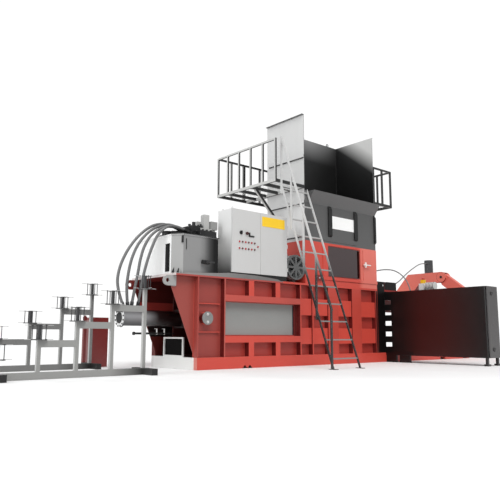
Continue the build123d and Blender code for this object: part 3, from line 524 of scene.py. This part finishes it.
# each face its own tone: the face turned to -x near black with a reddish painted glow along its middle, the end face
# lighter as painted light, the low back end near black as painted shade
face = s.less(s.nx, -0.6)
glow = s.both(s.along("y", -380, -800), s.along("y", -2000, -1200))
c = s.mix(face, lin(54, 53, 53), s.mix(glow, lin(15, 12, 12), lin(50, 14, 12)))
c = s.mix(s.both(s.less(s.ny, -0.6), s.inside(y1=-1990)), c, lin(76, 74, 74))
c = s.mix(s.inside(y0=-600, z1=205), c, lin(9, 6, 6))
use("needle_housing", finish_paint(s, c, rough=0.32, blotch=0.05, wear=lin(84, 80, 80), wear_amount=0.6, coat=0.04, spec=0.35))
use("needle_carriage", bare_steel("needle_steel", lin(176, 176, 174), 0.3, 0.9))
s = Mat("drive_grey")
c = s.mix(s.inside(x0=4560, x1=4640, y0=-790, z0=1452.5), lin(206, 206, 204), lin(226, 176, 20))
fins = s.both(s.inside(y1=-805), s.more(s.math("SINE", s.math("MULTIPLY", s.y, 210.0)), 0.2))
c = s.mix(fins, c, lin(84, 80, 80))
use("needle_drive", finish_paint(s, c, rough=0.4, blotch=0.06, wear=lin(110, 110, 110)))
use("tension_cylinder", plain("cylinder_dark", lin(70, 71, 72), rough=0.28, metallic=0.3, wear=lin(150, 150, 150), spec=0.7))


# ---------------------------------------------------------------- mesh building
class Build:
    """one mesh made of several closed forms, given in machine millimetres"""

    def __init__(s, name):
        s.name, s.bm = name, bmesh.new()

    def box(s, x0, x1, y0, y1, z0, z1):
        a, b = P(x0, y0, z0), P(x1, y1, z1)
        m = Matrix.Translation((a + b) / 2) @ Matrix.Diagonal(((b - a).x, (b - a).y, (b - a).z, 1))
        bmesh.ops.create_cube(s.bm, size=1, matrix=m)
        return s

    def rod(s, p0, p1, r, seg=24, r2=None):
        a, b = P(*p0), P(*p1)
        d = b - a
        m = Matrix.Translation((a + b) / 2) @ d.to_track_quat("Z", "Y").to_matrix().to_4x4()
        bmesh.ops.create_cone(s.bm, cap_ends=True, cap_tris=False, segments=seg, radius1=r / 1000,
                              radius2=(r if r2 is None else r2) / 1000, depth=d.length, matrix=m)
        return s

    def dome(s, p, r, axis, flat=0.6):
        a = P(*p)
        q = Vector(axis).to_track_quat("Z", "Y").to_matrix().to_4x4()
        bmesh.ops.create_uvsphere(s.bm, u_segments=16, v_segments=8, radius=r / 1000,
                                  matrix=Matrix.Translation(a) @ q @ Matrix.Diagonal((1, 1, flat, 1)))
        return s

    def bolt(s, p, axis, r, h):
        """hexagon head on a washer, with the washer on the surface at p"""
        v = Vector(axis).normalized()
        q = [Vector(p) + v * k for k in (0, h * 0.25, h)]
        s.rod(q[0], q[1], r * 1.35, 20)
        s.rod(q[1], q[2], r, 6, r * 0.93)
        return s

    def ring(s, centre, axis, big, small, seg=28, sides=10):
        c, v = P(*centre), Vector(axis).normalized()
        q = v.to_track_quat("Z", "Y")
        loops = []
        for i in range(seg):
            a = 2 * math.pi * i / seg
            out = q @ Vector((math.cos(a), math.sin(a), 0))
            loop = []
            for j in range(sides):
                b = 2 * math.pi * j / sides
                loop.append(s.bm.verts.new(c + out * (big + small * math.cos(b)) / 1000 + v * small * math.sin(b) / 1000))
            loops.append(loop)
        for i in range(seg):
            for j in range(sides):
                k, m = (i + 1) % seg, (j + 1) % sides
                s.bm.faces.new((loops[i][j], loops[k][j], loops[k][m], loops[i][m]))
        return s

    def done(s, mat, body="frame", bevel=1.5, slot=None, smooth=False):
        bmesh.ops.recalc_face_normals(s.bm, faces=s.bm.faces)
        me = bpy.data.meshes.new(s.name)
        s.bm.to_mesh(me)
        s.bm.free()
        o = bpy.data.objects.new(s.name, me)
        SCENE.collection.objects.link(o)
        me.materials.append(mat)
        if smooth:
            me.polygons.foreach_set("use_smooth", [len(f.vertices) == 4 for f in me.polygons])
        if bevel:
            md = o.modifiers.new("edge", "BEVEL")
            md.width, md.segments, md.limit_method, md.angle_limit = bevel / 1000, 2, "ANGLE", math.radians(40)
            md.harden_normals = False
        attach(o, body)
        return o


# ---------------------------------------------------------------- hoses
R1 = [(10, 550, 2105), (-190, 551, 2165), (-405, 554, 2135), (-565, 561, 2038), (-730, 570, 1876),
      (-876, 580, 1650), (-968, 592, 1405), (-978, 605, 1165), (-881, 620, 954)]
R2 = [(10, 460, 2090), (-150, 462, 2145), (-330, 470, 2128), (-540, 487, 2018), (-705, 507, 1820),
      (-798, 532, 1590), (-832, 560, 1350), (-834, 590, 1145), (-795, 620, 960)]
R3 = [(10, 370, 2060), (-145, 375, 2098), (-355, 386, 2088), (-555, 406, 1955), (-660, 436, 1755),
      (-692, 476, 1555), (-697, 520, 1355), (-712, 572, 1150), (-717, 620, 970)]
R4 = [(10, 280, 2030), (-140, 285, 2082), (-342, 304, 2098), (-498, 336, 1945), (-578, 381, 1705),
      (-618, 436, 1480), (-628, 497, 1300), (-617, 560, 1130), (-614, 620, 972)]
RN = [(4200, 60, 1722), (4330, 45, 1752), (4480, 15, 1772), (4620, -60, 1768), (4720, -150, 1700),
      (4765, -240, 1590), (4770, -310, 1460), (4752, -350, 1348)]
RT = [(4860, 110, 1500), (5080, 150, 1570), (5340, 222, 1685), (5610, 305, 1795), (5880, 385, 1895),
      (6160, 465, 1990), (6440, 555, 2072), (6715, 645, 2128), (6955, 693, 2154)]

s = Mat("hose_rubber")
wrap = s.noise(95, 3, 0.6, stretch=(1, 1, 1.6))
c = s.mix(s.span(wrap, 0.35, 0.65), lin(92, 92, 93), lin(118, 118, 118))
M_HOSE = finish_paint(s, c, rough=0.42, rough_var=0.1, blotch=0.12, peel=0.12, grain=(190, (1, 1, 1)), edge=0.001, spec=0.6)
M_THIN = plain("thin_line", lin(112, 112, 112), rough=0.4, edge=0.001)


def hose(name, route, dia, mat):
    cu = bpy.data.curves.new("line_" + name, "CURVE")
    cu.dimensions = "3D"
    sp = cu.splines.new("NURBS")
    sp.points.add(len(route) - 1)
    for q, pt in zip(sp.points, route):
        q.co = (*P(*pt), 1)
    sp.order_u = 3
    sp.use_endpoint_u = True
    sp.resolution_u = 16
    cu.bevel_depth = dia / 2000
    cu.bevel_resolution = 6
    cu.use_fill_caps = True
    o = bpy.data.objects.new("line_" + name, cu)
    SCENE.collection.objects.link(o)
    cu.materials.append(mat)
    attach(o, "frame")
    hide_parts(name)
    return o


hose("hose_1", R1, 42, M_HOSE)
hose("hose_2", R2, 42, M_HOSE)
hose("hose_3", R3, 42, M_HOSE)
hose("hose_4", R4, 42, M_HOSE)
hose("hose_needle", RN, 22, M_THIN)
hose("hose_tension", RT, 22, M_THIN)

# ---------------------------------------------------------------- trim
M_BOLT = bare_steel("bolt_zinc", lin(205, 205, 203), 0.35, 0.4)
M_BOLT_DARK = bare_steel("bolt_black", lin(34, 34, 34), 0.45, 0.3)
M_WHITE = plain("plate_white", lin(244, 244, 243), rough=0.35, wear=lin(200, 200, 200))
M_YELLOW = plain("plate_yellow", lin(246, 202, 40), rough=0.35, wear=lin(220, 190, 90))
M_RUBBER = plain("seal_black", lin(18, 18, 18), rough=0.6, grain=(300, (1, 1, 1)), peel=0.08)
M_PALE = plain("bracket_pale", lin(222, 222, 220), rough=0.4, wear=lin(160, 160, 160))

# bare sign plate on the hopper with its four rivets
Build("sign_plate").box(2903, 3522, -5, 0.2, 2395, 2625).done(M_WHITE, bevel=1.2, slot="light_grey_paint")
b = Build("sign_plate_rivets")
for x in (2918, 3507):
    for z in (2410, 2610):
        b.dome((x, -5, z), 6, (0, -1, 0))
b.done(M_BOLT, bevel=0, smooth=True)
# bare plate on the right cabinet door
Build("door_plate_yellow").box(1239, 1739, -2.5, 0.2, 2230, 2390).done(M_YELLOW, "cabinet_right_body", bevel=0.8)

# lamps and push buttons on the left cabinet door
rims, lens_red, lens_dark = Build("lamp_rims"), Build("lamp_lenses"), Build("button_caps")
for z in (1932, 1828):
    for k in range(6):
        x = 765 + 62 * k
        rims.rod((x, 0.2, z), (x, -5, z), 20, 24, 18)
        (lens_red if k % 2 == 0 else lens_dark).rod((x, -4, z), (x, -15, z), 16, 20, 14)
rims.rod((1140, 0.2, 1882), (1140, -6, 1882), 20, 24, 18)
lens_red.rod((1140, -5, 1882), (1140, -22, 1882), 14, 20, 12)
rims.done(M_BOLT, "cabinet_left_body", bevel=0.6, smooth=True)
lens_red.done(plain("lens_red", lin(170, 22, 26), rough=0.15, coat=0.5), "cabinet_left_body", bevel=1.2, smooth=True)
lens_dark.done(plain("cap_dark_red", lin(84, 16, 20), rough=0.3, coat=0.2), "cabinet_left_body", bevel=1.2, smooth=True)
(Build("door_latch").box(953, 1067, -14, 0.2, 2026, 2048).box(953, 975, -22, 0.2, 2040, 2092)
 .done(M_BLACK, "cabinet_left_body", bevel=3))
b = Build("door_hinges")
for z in (1560, 1946, 2332):
    b.rod((624, 0, z - 30), (624, 0, z + 30), 5, 14)
b.done(M_BOLT, bevel=0.8, smooth=True)
b = Build("door_hinges_right")
for z in (1560, 1946, 2150):
    b.rod((1796, -5, z - 30), (1796, -5, z + 30), 5, 14)
b.done(M_BOLT, bevel=0.8, smooth=True)
# lifting eyes of the cabinet roof
b = Build("cabinet_eyes")
for x in (680, 1737):
    for y in (70, 310):
        b.rod((x, y, 2445), (x, y, 2452), 16, 20)
        b.ring((x, y, 2466), (0, 1, 0), 14, 4)
b.done(M_BOLT, bevel=0, smooth=True)

# tank trim: level gauge, edge strips, gussets, lid bolts
(Build("level_gauge").box(-358, -349.8, 226, 335, 1405, 1815).box(-366, -357, 246, 315, 1410, 1440)
 .box(-366, -357, 246, 315, 1780, 1810).done(plain("gauge_body", lin(8, 8, 8), rough=0.5, spec=0.2), bevel=2))
Build("level_glass").box(-361, -357, 262, 299, 1445, 1775).done(plain("gauge_glass", lin(6, 6, 7), rough=0.3, spec=0.2), bevel=1)
(Build("tank_strips").box(-262, -250, 20, 62, 1815, 1917).box(-196, -184, 34, 40.2, 1720, 1880).done(M_RUBBER, bevel=1.5))
b = Build("tank_gussets")
for x in (-420, -340, -268):
    for i in range(5):
        b.box(x + i * 9, x + (i + 1) * 9, 60, 68, 1369.8, 1380 + i * 16)
b.done(M_BLACK, bevel=1)
b = Build("tank_lid_bolts")
for x in range(-210, 360, 110):
    b.bolt((x, 52, 1945), (0, 0, 1), 9, 9)
for y in range(240, 1200, 120):
    b.bolt((-338, y, 1945), (0, 0, 1), 9, 9)
b.done(M_BOLT_DARK, bevel=0.6)
b = Build("tank_filler")
b.rod((-120, 820, 1945), (-120, 820, 1990), 55, 32).rod((-120, 820, 1990), (-120, 820, 2030), 46, 32, 40)
b.rod((330, 980, 1945), (330, 980, 1965), 78, 32).rod((330, 980, 1965), (330, 980, 2090), 62, 32, 58)
b.done(M_BLACK, bevel=3, smooth=True)
# filter housings with bolted covers behind the hose ends
b = Build("tank_filters")
for x, y, z, r in ((-130, 655, 2052, 82), (-130, 440, 2028, 58), (-45, 345, 2000, 30)):
    b.rod((x, y, 1945), (x, y, z), r, 40).rod((x, y, z), (x, y, z + 14), r + 10, 40)
    for i in range(6):
        a = math.radians(60 * i + 20)
        b.rod((x + (r + 2) * math.cos(a), y + (r + 2) * math.sin(a), z + 14),
              (x + (r + 2) * math.cos(a), y + (r + 2) * math.sin(a), z + 20), 5, 6)
b.rod((-60, 640, 1995), (12, 600, 2000), 22, 24)
b.done(M_BLACK, bevel=2, smooth=True)
# pipe work and small valves on the manifold
b = Build("valve_coils")
for x, y in ((215, 260), (215, 330), (215, 400), (450, 500), (450, 570)):
    b.box(x - 25, x + 25, y - 24, y + 24, 2109.5, 2150)
    b.rod((x, y, 2150), (x, y, 2172), 15, 20)
b.done(M_BLACK, bevel=3)
b = Build("valve_bolts")
for x in (205, 495):
    for y in (250, 600):
        b.bolt((x, y, 2110), (0, 0, 1), 10, 10)
b.done(M_BOLT, bevel=0.6)
# small dark fittings in front of the manifold
b = Build("manifold_fittings")
for x, z, l in ((60, 1998, 42), (225, 2078, 34), (300, 2078, 34), (375, 2078, 34)):
    b.rod((x, 240, z), (x, 240 - l, z), 15, 6).rod((x, 240 - l, z), (x, 236 - l, z), 10, 20)
b.done(M_BOLT_DARK, bevel=1)

# crimped end sleeves of the four pressure hoses
b = Build("hose_sleeves")
for r in (R1, R2, R3, R4):
    p0, p1 = Vector(r[0]), Vector(r[1])
    d = (p1 - p0).normalized()
    b.rod(p0 - d * 4, p0 + d * 92, 25.5, 24).rod(p0 - d * 6, p0 + d * 22, 31, 6)
b.done(M_BLACK, bevel=1.5, smooth=True)

# pin disc bolts, cylinder flange bolts, limit switch rod
b = Build("pin_bolts")
for z in (684, 796):
    b.bolt((182, 0, z), (0, -1, 0), 17, 14)
    b.bolt((182, 1240, z), (0, 1, 0), 17, 14)
b.done(M_BOLT, bevel=1)
b = Build("flange_bolts")
for k in range(12):
    a = math.tau * (k + 0.5) / 12
    b.bolt((-910, 620 + 118 * math.cos(a), 735 + 118 * math.sin(a)), (-1, 0, 0), 9, 12)
b.done(M_BOLT_DARK, bevel=0.8)
b = Build("limit_rod")
b.rod((-663, 620, 517), (-160, 620, 517), 15, 20).rod((-690, 620, 517), (-663, 620, 517), 24, 20)
b.box(-160, 12, 612, 628, 509, 525)
b.done(M_BOLT_DARK, bevel=1.5, smooth=True)
b = Build("limit_brackets")
for x in (-300, -170):
    b.box(x, x + 8, 606, 634, 500, 590).box(x - 28, x, 606, 634, 582, 590)
b.done(M_PALE, bevel=1.5)

# bolt of the bracket beside the tying station and of the feed box
b = Build("bracket_bolts")
b.bolt((4360, 0, 1450), (0, -1, 0), 13, 10).bolt((2544, -30, 1480), (0, -1, 0), 10, 9)
b.done(M_BOLT, bevel=0.8)
b = Build("housing_bolts")
for z in (1200, 270):
    for k in range(3):
        a = math.tau * k / 3 + 0.5
        b.bolt((4565 + 20 * math.cos(a), -2070, z + 20 * math.sin(a)), (0, -1, 0), 8, 7)
b.done(M_BOLT_DARK, bevel=0.4)

# black sheet inside the opening of the rear frame: painted shade of the space behind it
Build("portal_panel").box(10, 14, 376, 860, 199, 439).done(
    plain("opening_shade_black", lin(6, 4, 4), rough=0.7, spec=0.1), bevel=0)

# end caps of the rack feet
b = Build("rack_caps")
for y0 in (-290, ):
    for x in (-1000, -2826):
        b.box(x - 41, x + 41, y0 - 227, y0 - 222, 1, 81).box(x - 41, x + 41, y0 + 44 + 190, y0 + 44 + 195, 1, 81)
b.done(M_BLACK, bevel=2)

# cooling ribs of the motor
b = Build("motor_ribs")
for k in range(40):
    a = math.tau * k / 40
    c0 = Vector((2010.5 + 203 * math.cos(a), 0, 1625 + 203 * math.sin(a)))
    c1 = Vector((2010.5 + 210 * math.cos(a), 0, 1625 + 210 * math.sin(a)))
    b.rod((c0.x, 130, c0.z), (c0.x, 700, c0.z), 5, 8)
b.done(N["motor"].data.materials[0], bevel=0)

# hopper stiffening: seams of the outer skin
b = Build("hopper_seams")
for z in (3578, 2760, 2177):
    b.rod((2213, 14, z), (2213, 896, z), 10, 12)
b.done(M_BOLT_DARK, bevel=0)

# open grating of the walkway
s = Mat("grating_zinc")
M_GRATE = finish_paint(s, lin(214, 214, 213), rough=0.4, metallic=0.4, blotch=0.12)
b = Build("walkway_grating")
z0, z1 = 3079.5, 3083


def field(x0, x1, y0, y1):
    step = 66.0
    k = x0 + step / 2
    while k < x1:
        b.box(k - 1.2, k + 1.2, y0, y1, z0 - 1, z1)
        k += step
    k = y0 + step
    while k < y1:
        b.box(x0, x1, k - 1, k + 1, z1 - 3, z1 - 0.5)
        k += step


field(1577, 2184, 42, 1558)
field(2186, 4205, 1002, 1558)
field(4207, 4698, 42, 1558)
grate = b.done(M_GRATE, bevel=0, slot="galvanised")
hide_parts("walkway_mesh")

# ---------------------------------------------------------------- stage and light
floor_mat = Mat("floor_white")
floor_noise = floor_mat.mix(floor_mat.span(floor_mat.noise(0.8, 3), 0.3, 0.7), (0.915, 0.915, 0.915, 1), (0.94, 0.94, 0.94, 1))
floor_mat.t.links.new(floor_noise, floor_mat.b.inputs["Base Color"])
floor_mat.b.inputs["Roughness"].default_value = 0.9
floor_mat.b.inputs["Specular IOR Level"].default_value = 0.1
me = bpy.data.meshes.new("floor")
me.from_pydata([(-60, -60, -0.001), (60, -60, -0.001), (60, 90, -0.001), (-60, 90, -0.001)], [], [(0, 1, 2, 3)])
floor = bpy.data.objects.new("floor", me)
SCENE.collection.objects.link(floor)
me.materials.append(floor_mat.m)

world = bpy.data.worlds.new("studio")
SCENE.world = world
world.use_nodes = True
wt = world.node_tree
wt.nodes.clear()
w_out = wt.nodes.new("ShaderNodeOutputWorld")
w_mix = wt.nodes.new("ShaderNodeMixShader")
w_seen = wt.nodes.new("ShaderNodeBackground")
w_lit = wt.nodes.new("ShaderNodeBackground")
w_path = wt.nodes.new("ShaderNodeLightPath")
w_seen.inputs["Color"].default_value = (1, 1, 1, 1)
w_seen.inputs["Strength"].default_value = 1.05
w_lit.inputs["Color"].default_value = (0.97, 0.985, 1, 1)
w_lit.inputs["Strength"].default_value = 0.55
wt.links.new(w_path.outputs["Is Camera Ray"], w_mix.inputs[0])
wt.links.new(w_lit.outputs[0], w_mix.inputs[1])
wt.links.new(w_seen.outputs[0], w_mix.inputs[2])
wt.links.new(w_mix.outputs[0], w_out.inputs["Surface"])


def sun(name, towards, strength, angle, colour=(1, 1, 1)):
    d = bpy.data.lights.new(name, "SUN")
    d.energy, d.angle, d.color = strength, math.radians(angle), colour
    o = bpy.data.objects.new(name, d)
    SCENE.collection.objects.link(o)
    o.rotation_mode = "QUATERNION"
    o.rotation_quaternion = Vector(towards).to_track_quat("Z", "Y")
    return o


sun("key", (-0.25, -0.62, 0.74), 1.75, 30, (1, 0.99, 0.975))
sun("left", (-0.95, -0.05, 0.30), 0.95, 40, (0.98, 0.99, 1))
sun("back", (-0.1, 0.75, 0.65), 0.6, 14)
